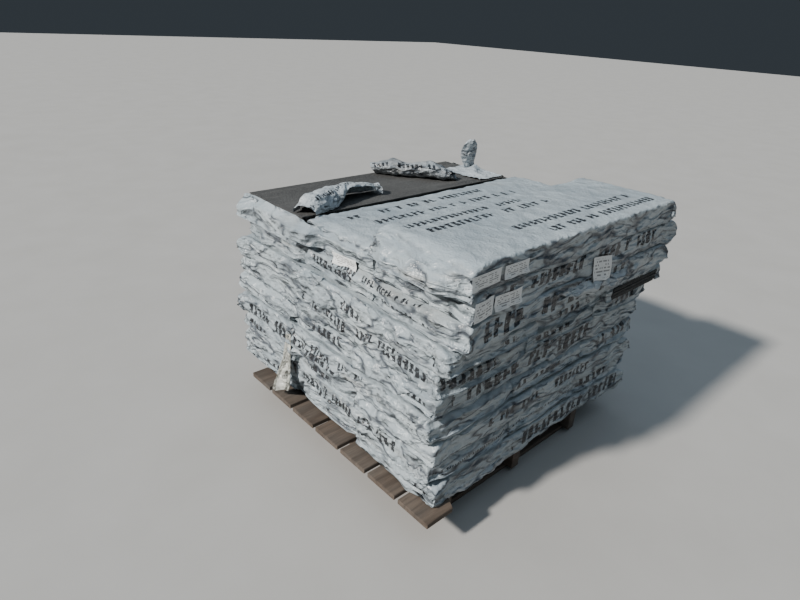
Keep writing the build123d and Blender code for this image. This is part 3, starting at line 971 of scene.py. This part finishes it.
def make_bare_shingles():
    """Every sheet of the open bundle, a little wavy, with its toothed layer under one half.

    Each is a plate of two faces and a rim. Only the top one is seen, so that has a wavy face.
    """
    rows, columns = SHINGLE_GRID
    plain = stacked(np.linspace(-1, 1, rows)[:, None], np.linspace(-1, 1, columns))
    ring = rim(rows, columns)
    count = len(ring[0])
    vertices, faces = [], []
    boxes = sorted(solid_boxes("bare_shingles"), key=lambda box: box[0][2])
    for number, (low, high) in enumerate(boxes):
        middle, half = (low + high) / 2, (high - low) / 2
        grid = plain * half[:2]
        worn = 0.0016 * np.abs(noise(np.arange(count) / 3.1, number * 1.7, 300 + number))
        edge = grid[ring] * (1 - worn)[:, None]
        bare = 1 - with_teeth((-1 if number % 2 else 1) * edge, half[1])
        lift = 0.0004 * layered(edge[:, 0] / 0.12 + number, edge[:, 1] / 0.12, 320 + number, 2)
        start, over = len(vertices), len(vertices) + count
        for level in (low[2] + TOOTH_LAYER * bare, high[2]):
            vertices += np.column_stack([middle[:2] + edge, level + lift]).tolist()
        for k in range(count):
            after = (k + 1) % count
            faces.append([start + k, start + after, over + after, over + k])
        faces.append([start + k for k in range(count - 1, -1, -1)])
        if number < len(boxes) - 1:
            faces.append([over + k for k in range(count)])
            continue
        wave = 0.0016 * layered(grid[..., 0] / 0.21, grid[..., 1] / 0.17, 350, 3)
        wave = wave * ramp((half[:2] - np.abs(grid)).min(-1), 0, 0.03)
        number_of = np.empty((rows, columns), int)
        number_of[ring] = over + np.arange(count)
        inner = number_of[1:-1, 1:-1]
        inner[:] = len(vertices) + np.arange(inner.size).reshape(inner.shape)
        spots = np.dstack([middle[:2] + grid, high[2] + wave])
        vertices += spots[1:-1, 1:-1].reshape(-1, 3).tolist()
        faces += number_of.ravel()[np.array(grid_faces(rows, columns))].tolist()
    piece = new_piece("bare_shingle_sheets", np.array(vertices), faces, SHINGLE, smooth=False)
    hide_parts("bare_shingles")


def make_open_wrap():
    """What is left of the open bundle's wrap: underside, ends and sides, torn off at the top."""
    low, high = (np.array(corner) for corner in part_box("film_under_shingles"))
    length, height = high[0] - low[0], OPEN_HEIGHT
    width = high[1] - low[1] + 0.009
    ends = ((0.95, 0.12, 0.0, 0.0), (0.6, 0.2, 0.0, 0.008))
    points, plain, _, hollow_shade = wrapped_skin(
        (length, width, height), 77, 0, False, (True, True), (MOST_FLARE, MOST_FLARE), ends,
    )
    middle = (low + high) / 2
    middle[2] = low[2] + 0.0004
    a, b, c = np.moveaxis(plain, -1, 0)
    at_end = ramp(-a, SHOULDER - 0.01, SHOULDER + 0.02)
    pulled_in = 0.75 * ramp(c, 0.35 * height, 0.85 * height) * at_end
    points[..., 0] += pulled_in * np.clip(-SHOULDER - 0.003 - points[..., 0], 0, None)
    ragged = 0.010 * layered(a / 0.05 + b / 0.04, b / 0.09, 401, 3)
    torn = (c > height * 0.80 + ragged) & (np.abs(a) < SHOULDER + 0.022 + ragged)
    quads = np.array(grid_faces(*a.shape, closed=True))
    used, kept = np.unique(quads[~torn.ravel()[quads].any(1)], return_inverse=True)
    points = (points + middle).reshape(-1, 3)[used]
    piece = new_piece("open_wrap", points, kept.reshape(-1, 4).tolist(), WRAP)
    reach = np.full(len(used), NO_PRINT)
    set_film(piece, np.zeros((len(used), 2)), reach, hollow_shade.ravel()[used])
    declare(piece, width + 2 * height, length + 2 * height)
    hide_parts("film_under_shingles")


def swung(x, y, start_x, start_y, degrees):
    """Places turned about the vertical and moved to a start."""
    turn = math.radians(degrees)
    return (
        start_x + x * math.cos(turn) - y * math.sin(turn),
        start_y + x * math.sin(turn) + y * math.cos(turn),
    )


def make_arch(top, left, front):
    """Film that stands in a low tunnel on the shingles, its front edge lifted."""
    s, t = patch((84, 46))
    bend = 0.6
    phi = (s - 0.5) * 0.38 / bend
    lift = 0.30 * ramp(s, 0.35, 0.6) * ramp(s, 1.02, 0.85)
    theta = math.pi * t * (1 - lift)
    height = 0.055 * (0.45 + 0.55 * ramp(s, 0, 0.14)) * (1 - 0.35 * ramp(s, 0.6, 1.0))
    width = 0.050 * (1 - 0.35 * ramp(s, 0.55, 1.0)) * (0.8 + 0.2 * ramp(s, 0, 0.2))
    out = width * np.cos(theta)
    x, y = (bend + out) * np.sin(phi), (bend + out) * np.cos(phi) - bend
    z = height * np.sin(theta) ** 0.8
    place = stacked(*swung(x, y, left + 0.188, front + 0.076, 11), top + 0.004 + z)
    place = crumpled(place, 510, 0.0046, 0.0014, 0.036)
    place[..., 2] = np.maximum(place[..., 2], top + LEAST_LIFT)
    film_sheet(
        "torn_film_arch_sheet", place, TORN, "torn_film_arch",
        (0.68, 0.12),
    )


def make_roll(top, end_x, end_y):
    """Film rolled up loosely, thick in the middle."""
    s, t = patch((80, 80))
    around = math.radians(-35) + t * math.radians(400)
    size = 0.62 + 0.38 * ramp(s, 0, 0.3) * ramp(s, 1.0, 0.72) + 0.08 * np.sin(9 * s)
    radius = (0.026 + 0.011 * t) * size
    out, rise = 1.45 * radius * np.cos(around), 1.0 * radius * (1 + np.sin(around))
    along = 0.02 + 0.335 * s + 0.012 * np.sin(around)
    place = stacked(*swung(along, out, end_x, end_y, 129), top + 0.003 + rise)
    place = crumpled(place, 530, 0.0060, 0.0014, 0.040)
    place[..., 2] = np.maximum(place[..., 2], top + LEAST_LIFT)
    film_sheet(
        "torn_film_roll_sheet", place, ROLLED, "torn_film_roll",
        (0.17, 0.10),
    )


def make_spread(top, low, high, right):
    """Film over the right end of the shingles, which slants and billows past it."""
    s, t = patch((90, 80))
    start = low[0] + 0.018 * layered(t / 0.35, 0 * s, 541, 3) + 0.012
    stop = high[0] + 0.008 * layered(t / 0.2, 0 * s + 5, 543, 3)
    x = start + (stop - start) * s
    y = low[1] + (high[1] - low[1]) * (t + 0.05 * layered(s / 0.3, t / 0.5, 545, 2))
    past = np.clip(x - right, 0, None)
    ridge = np.exp(-((y - low[1] - 0.10 - 0.7 * (x - low[0] - 0.08)) / 0.030) ** 2)
    z = top + 0.004 - 0.55 * past**1.05 + 0.014 * ridge * ramp(s, 0.1, 0.5)
    z = z + ramp(past, 0, 0.05) * 0.010 * layered(y / 0.08, x / 0.2, 547, 2)
    place = crumpled(stacked(x, y, z), 549, 0.0032, 0.0010, 0.050)
    low_spots = (place[..., 0] < right + 0.004) & (place[..., 2] < top + LEAST_LIFT)
    place[low_spots, 2] = top + LEAST_LIFT
    film_sheet("torn_film_spread_sheet", place, TORN, "torn_film_spread")


def make_flap(low, high):
    """A curled tongue of film that stands up, held by its own folds."""
    s, t = patch((54, 44), -1)
    height, half = high[2] - low[2], (high[0] - low[0]) / 2
    rounded = np.sqrt(np.clip(1.02 - np.clip((s - 0.55) / 0.45, 0, 1) ** 2, 0, 1))
    width = half * (0.62 + 0.38 * ramp(s, 0.0, 0.5)) * rounded
    x = (low[0] + high[0]) / 2 + width * t * (1 - 0.12 * np.abs(t)) - 0.006 * s
    y = (low[1] + high[1]) / 2 + 0.020 * (t**2 - 0.35) * ramp(s, 0, 0.5) - 0.016 * s**2
    place = crumpled(stacked(x, y, low[2] + height * s), 561, 0.0026, 0.0012, 0.030)
    film_sheet("torn_film_flap_sheet", place, TORN, "torn_film_flap")


def make_strip(low, high):
    """A pleated tail of film, split in two towards its ends."""
    s, t = patch((96, 72), -1)
    middle, half = (low[1] + high[1]) / 2, (high[1] - low[1]) / 2
    split = ramp(s, 0.3, 1.0)
    side = by_sign(t, (-1.0, 1.0))
    width = 0.016 + 0.012 * s
    y = middle - 0.014 + 0.012 * s + side * split * (half - 0.024) + width * t * (1 - 0.25 * split)
    pleats = (0.004 + 0.010 * s) * np.cos(t * 9.5 + 1.5 * noise(s / 0.3, t, 571))
    lean = 0.030 * s**2 * (1 + 0.25 * side)
    x = low[0] + 0.004 - lean - 0.6 * np.abs(pleats)
    drop = (high[2] - low[2]) * (1 - 0.10 * split * (side < 0))
    z = high[2] - drop * s - 0.006 * noise(t / 0.3, s, 573)
    place = crumpled(stacked(x, y, z), 575, 0.0022, 0.0010, 0.022)
    film_sheet("hanging_strip_sheet", place, PALE, "hanging_film_strip")


# The surfaces that surfaces() has made ready, by name
FOUND = {}


def surfaces(*starts):
    """The surfaces of the pieces whose names start so, ready to be found by rays."""
    found = []
    for piece in list(bpy.data.objects):
        if piece.name.startswith(starts):
            if piece.name not in FOUND:
                graph = bpy.context.evaluated_depsgraph_get()
                FOUND[piece.name] = BVHTree.FromObject(piece, graph)
            found.append(FOUND[piece.name])
    return found


def lay_on(points, direction, trees, lift, taut=0):
    """Moves a grid of points along a direction onto the first surface there, less lift.

    Taut is how many points wide the hollows are that it spans.
    """
    ray = Vector(direction)
    rows, columns = points.shape[:2]
    reach = np.full((rows, columns), np.nan)
    for i, j in np.ndindex(rows, columns):
        origin = Vector(points[i, j]) - ray * SEARCH_START
        found = [tree.ray_cast(origin, ray, 2 * SEARCH_START)[3] for tree in trees]
        found = [distance for distance in found if distance is not None]
        if found:
            reach[i, j] = min(found)
    reach = np.where(np.isnan(reach), np.nanmedian(reach), reach)
    reach = np.minimum(reach, np.nanmedian(reach) + 0.008)
    for turn in range(2 * taut + 2):
        padded = np.pad(reach, 1, mode="edge")
        near = [padded[i + 1:rows + i + 1, j + 1:columns + j + 1] for i, j in NEAR]
        if turn < taut:
            reach = np.min(near, axis=0)
        else:
            reach = np.minimum(np.mean(near, axis=0), reach + 0.0006)
    return points + np.array(direction) * (reach - SEARCH_START - lift)[..., None]


def make_label(name, corners, direction, on, lift=0.0012, curl=0.0):
    """Paper glued to the film. Corners: lower left, lower right, upper right, upper left."""
    corners = [np.array(corner, float) for corner in corners]
    s, t = (way[..., None] for way in patch(LABEL_GRID))
    low, up = corners[0] * (1 - s) + corners[1] * s, corners[3] * (1 - s) + corners[2] * s
    points = lay_on(low * (1 - t) + up * t, direction, surfaces(*on), lift, 3)
    bent = curl * ramp(1 - t, 0.5, 1.0) ** 2 * (0.6 + noise(s / 0.4, 0, len(name)))
    points = points - np.array(direction) * bent
    piece = new_piece(name, points, grid_faces(*LABEL_GRID), PAPER)
    set_uv(piece.data, "label", stacked(s[..., 0], t[..., 0]))


def make_labels():
    """The paper labels: four upright ones, one that hangs down and one on the left face."""
    right, left = (0, 1, 0), (1, 0, 0)
    for name, x0, z0, x1, z1, on, *more in (
        ("label_top_1", -0.462, 0.862, -0.350, 0.900, "wrap_10_1"),
        ("label_top_2", -0.335, 0.862, -0.238, 0.898, "wrap_10_1", 0.0014, 0.006),
        ("label_09_1", -0.440, 0.772, -0.360, 0.826, "wrap_09_1"),
        ("label_09_2", -0.352, 0.776, -0.243, 0.818, "wrap_09_1", 0.0014, 0.008),
    ):
        corners = [(x, RIGHT_FACE, z) for x, z in ((x0, z0), (x1, z0), (x1, z1), (x0, z1))]
        make_label(name, corners, right, [on], *more)
    hanging = ((0.110, 0.742), (0.216, 0.727), (0.206, 0.806), (0.100, 0.820))
    corners = [(x, RIGHT_FACE, z) for x, z in hanging]
    make_label("label_hanging", corners, right, ["wrap_09_1", "wrap_08_1"], 0.003, 0.010)
    side = ((0.030, 0.747), (-0.080, 0.754), (-0.082, 0.789), (0.036, 0.781))
    corners = [(LEFT_FACE + 0.01, y, z) for y, z in side]
    on = ["wrap_09_2", "wrap_08_2", "wrap_09_1", "wrap_08_1", "film_band"]
    make_label("label_left", corners, left, on, 0.0016, 0.004)


# Loose folds of film: the ends along the face, the level at both ends, how far they hang, how far
# they stand out, and the wraps that they lie on; for the left face the lower one's layer
RIGHT_FOLDS = (
    (-0.075, 0.395, 0.757, 0.728, 0.042, 0.020, "wrap_08_1", "wrap_09_1"),
    (-0.400, -0.105, 0.150, 0.139, 0.030, 0.008, "wrap_01"),
)
LEFT_FOLDS = (
    (-0.36, 0.10, 0.762, 0.768, 0.034, 0.006, 8),
    (0.06, 0.50, 0.690, 0.682, 0.050, 0.006, 7),
    (-0.44, -0.10, 0.668, 0.690, 0.055, 0.007, 7),
    (-0.30, 0.20, 0.606, 0.600, 0.060, 0.008, 6),
    (0.10, 0.56, 0.520, 0.528, 0.050, 0.007, 5),
    (-0.40, -0.02, 0.528, 0.512, 0.058, 0.008, 5),
    (-0.16, 0.24, 0.446, 0.440, 0.052, 0.007, 4),
    (-0.42, -0.12, 0.372, 0.360, 0.062, 0.008, 3),
    (0.12, 0.52, 0.362, 0.368, 0.046, 0.006, 3),
    (-0.24, 0.14, 0.284, 0.290, 0.052, 0.007, 2),
    (-0.44, -0.16, 0.214, 0.204, 0.056, 0.008, 1),
    (0.02, 0.34, 0.208, 0.204, 0.046, 0.006, 1),
)


def make_loose_fold(number, on_right, start, stop, level, last_level, drop, out, *on):
    """One loose fold, laid on its wraps and then lifted and crumpled."""
    s, t = patch(FOLD_GRID)
    along = start + (stop - start) * s + 0.012 * noise(s / 0.4, t, 600 + number) * t
    uneven = 0.5 * noise(s / 0.15, 0, 620 + number)
    hang = drop * (0.25 + 0.75 * np.sin(math.pi * s) ** 0.6 + uneven)
    z = level + (last_level - level) * s - hang * t
    flat = (along, RIGHT_FACE, z) if on_right else (LEFT_FACE, along, z)
    square = (0, 1, 0) if on_right else (1, 0, 0)
    place = lay_on(stacked(*flat), square, surfaces(*on), 0.001)
    bulge = (out if on_right else 1.6 * out) * np.sin(math.pi * np.clip(0.8 * t, 0, 1))
    bulge = bulge * (0.6 + 0.8 * noise(s / 0.12, t, 640 + number)) * np.sin(math.pi * s) ** 0.4
    place = (place - np.array(square) * bulge[..., None])[::1 if on_right else -1]
    place = crumpled(place, 660 + number, 0.0026, 0.0010, 0.030)
    row = (0.6, 0.55) if number % 3 == 0 else None
    # On the right face the loose folds take the lighter torn film: a painted highlight where they
    # catch the light
    material = TORN if on_right else WRAP
    film_sheet(f"loose_fold_{number:02d}", place, material, row=row)


def make_loose_folds():
    """The loose folds of both faces."""
    for number, fold in enumerate(RIGHT_FOLDS + LEFT_FOLDS, 1):
        on_right = number <= len(RIGHT_FOLDS)
        if not on_right:
            *fold, layer = fold
            fold += [f"wrap_{layer:02d}", f"wrap_{layer + 1:02d}"]
        make_loose_fold(number, on_right, *fold)


def make_band():
    """The smooth strip of film over the ends of the open bundle and the one beside it."""
    s, t = patch(BAND_GRID)
    y = 0.445 - 0.60 * s + 0.006 * t * noise(s / 0.2, t, 801)
    top = 0.846 - 0.012 * s + 0.003 * noise(s / 0.12, 0 * t, 803)
    z = top - (0.060 - 0.016 * ramp(s, 0.7, 1.0) + 0.010 * noise(s / 0.14, 0, 805)) * t
    on = surfaces("wrap_09_2", "open_wrap")
    place = lay_on(stacked(LEFT_FACE, y, z), (1, 0, 0), on, 0.0012, 12)
    bulge = 0.004 * np.sin(math.pi * t) * (1 + noise(s / 0.1, 0, 807))
    place[..., 0] -= bulge * np.sin(math.pi * s) ** 0.5

    # Its upper edge leans in over the neighbour, and beside the open pile as far as the pile
    beside = ramp(place[..., 1], 0.13, 0.19)
    pile_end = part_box("bare_shingles")[0][0] - 0.007
    lean = 0.030 * (1 - beside) + np.clip(pile_end - place[..., 0], 0, None) * beside
    place[..., 0] += ramp(t, 0.42, 0.0) * lean
    place = crumpled(place[::-1], 809, 0.0014, 0.0006, 0.045)
    film_sheet("film_band", place, WRAP)


def make_slot():
    """The end of a bundle in the seventh layer, torn open, with its shingles' ends bare."""
    rng = np.random.default_rng(7)
    vertices, faces = [], []
    low, high = max(solid_boxes("bundle_layer_07"), key=lambda box: box[1][0])
    front = low[1] + 0.004
    for level in np.arange(*SLOT_LEVELS, SHEET_PITCH):
        x0, x1 = low[0] + 0.020 + rng.uniform(0, 0.010), high[0] - 0.012 - rng.uniform(0, 0.006)
        x = np.linspace(x0, x1, SLOT_POINTS)
        y = front + rng.uniform(-0.004, 0.004) + 0.0016 * noise(x / 0.02, level * 90, 701)
        start = len(vertices)
        for z in (level, level + SLOT_SHEET):
            vertices += stacked(x, y, z + 0.0006 * noise(x / 0.1, level * 70, 702)).tolist()
            vertices += stacked(x, front + 0.05, z).tolist()
        for k in range(start, start + SLOT_POINTS - 1):
            low_front, low_back, up_front, up_back = (k + SLOT_POINTS * row for row in range(4))
            for one, other in ((low_front, up_front), (up_front, up_back), (low_back, low_front)):
                faces.append([one, one + 1, other + 1, other])
    torn = bmesh.new()
    wrap = bpy.data.objects["wrap_07_3"].data
    torn.from_mesh(wrap)
    gone = []
    for face in torn.faces:
        x, y, z = face.calc_center_median()
        z -= 0.008 * float(noise(x / 0.03, z / 0.02, 705))
        in_width = low[0] + 0.022 < x < high[0] - 0.012
        if in_width and y < front + 0.02 and SLOT_LEVELS[0] + 0.001 < z < SLOT_LEVELS[1] - 0.001:
            gone.append(face)
    bmesh.ops.delete(torn, geom=gone, context="FACES")
    torn.to_mesh(wrap)
    torn.free()
    piece = new_piece("slot_shingles", np.array(vertices), faces, SHINGLE, smooth=False)
    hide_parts("bundle_layer_07")


make_camera()
make_light()
make_floor()
make_wraps()
shingle_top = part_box("bare_shingles")[1][2]
open_low, open_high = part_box("film_under_shingles")
open_x, open_front = (open_low[0] + open_high[0]) / 2, open_low[1]
make_open_wrap()
make_bare_shingles()
make_arch(shingle_top, open_x - SHOULDER, open_front)
make_roll(shingle_top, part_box("torn_film_spread")[0][0] - 0.060, open_front + 0.054)
make_spread(shingle_top, *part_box("torn_film_spread"), open_x + SHOULDER)
make_flap(*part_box("torn_film_flap"))
make_strip(*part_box("hanging_film_strip"))
make_band()
make_labels()
make_loose_folds()
make_slot()
for node, item in frame["nodes"].items():
    if node.startswith(("deck", "foot", "stringer")):
        item.data.materials.clear()
        item.data.materials.append(WOOD_Y if node.startswith("stringer") else WOOD_X)
